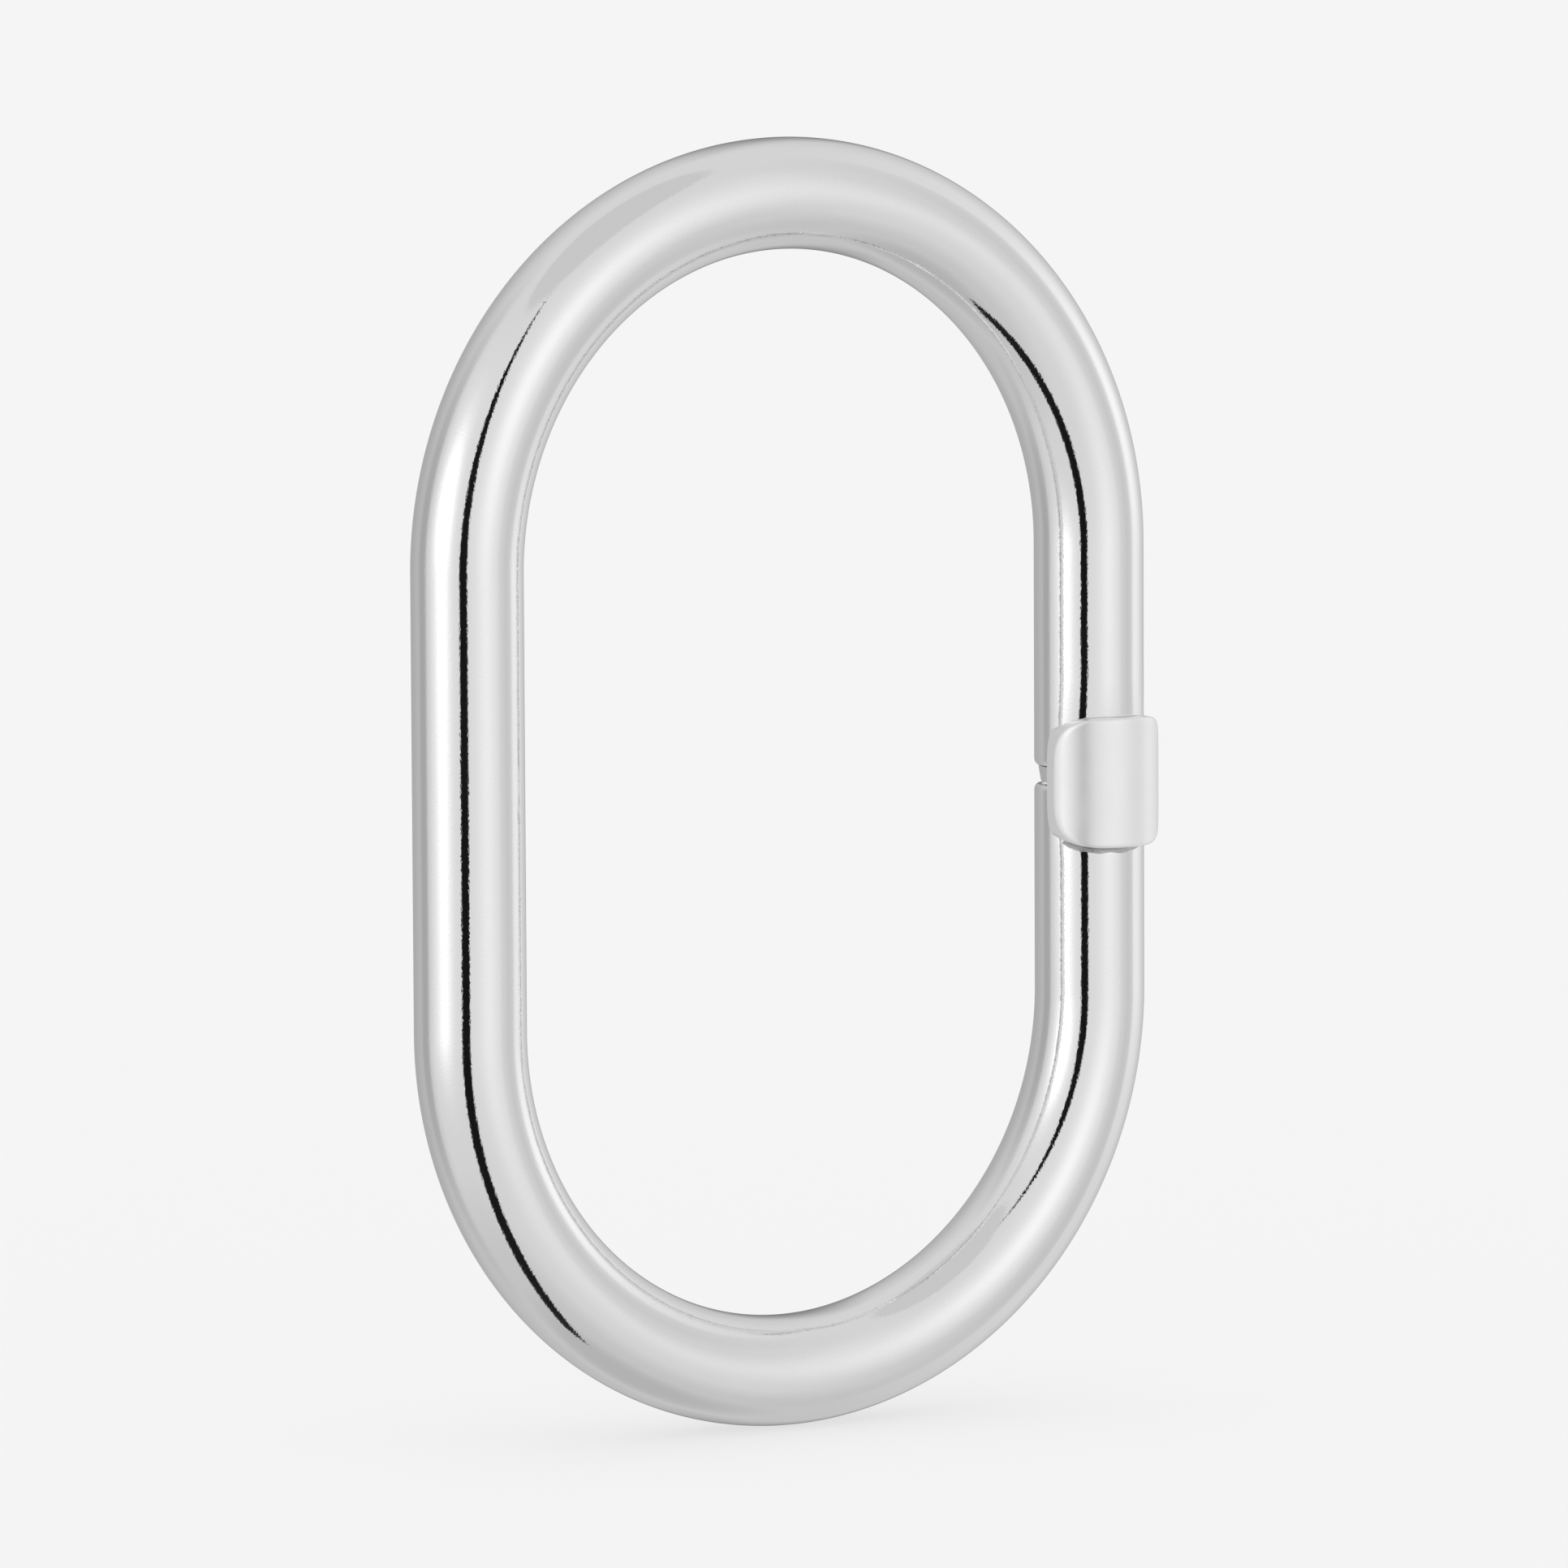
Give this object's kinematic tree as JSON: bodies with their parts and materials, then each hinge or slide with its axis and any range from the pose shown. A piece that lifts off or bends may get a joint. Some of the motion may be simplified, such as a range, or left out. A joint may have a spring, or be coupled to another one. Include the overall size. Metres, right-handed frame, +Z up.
{
  "type": "oval ring clasp",
  "caption": "Upright oval ring clasp in bent hollow silver tube, cut once in one limb, with a curved cover plate over a springy side-opening catch.",
  "frame": {"origin": "centre of the whole clasp's bounding box", "axes": "+X from the far limb to the near limb with the catch, -Y the front face with the cover plate, +Z up along the long axis"},
  "size_m": [0.0372, 0.0056, 0.0568],
  "materials": {
    "polished_silver": "mirror polish with fine hand-polishing haze",
    "satin_silver": "soft satin with rounded, brighter edges",
    "cast_silver": "tumbled casting, slightly rough",
    "solder": "dull solder fillet with fine pits, slightly oxidised"
  },
  "bodies": {
    "lower_end": {"bow_lower": "polished_silver", "catch_block": "cast_silver", "cover_plate": "satin_silver", "solder_bead": "solder"},
    "far_limb": {"bow_far_stretch": "polished_silver"},
    "upper_end": {"bow_upper": "polished_silver", "nose_plug": "cast_silver"}
  },
  "joints": [
    {"name": "side_twist", "type": "hinge", "parent": "lower_end", "child": "far_limb", "pos_m": [-0.01625, 0.00032, -0.004], "axis": [0, 0, 1], "range_deg": [0, 10], "stiffness_Nm_per_rad": 0.2},
    {"name": "end_spread", "type": "hinge", "parent": "far_limb", "child": "upper_end", "pos_m": [-0.01625, 0.00032, 0.004], "axis": [0, -1, 0], "range_deg": [0, 4], "stiffness_Nm_per_rad": 0.2}
  ]
}
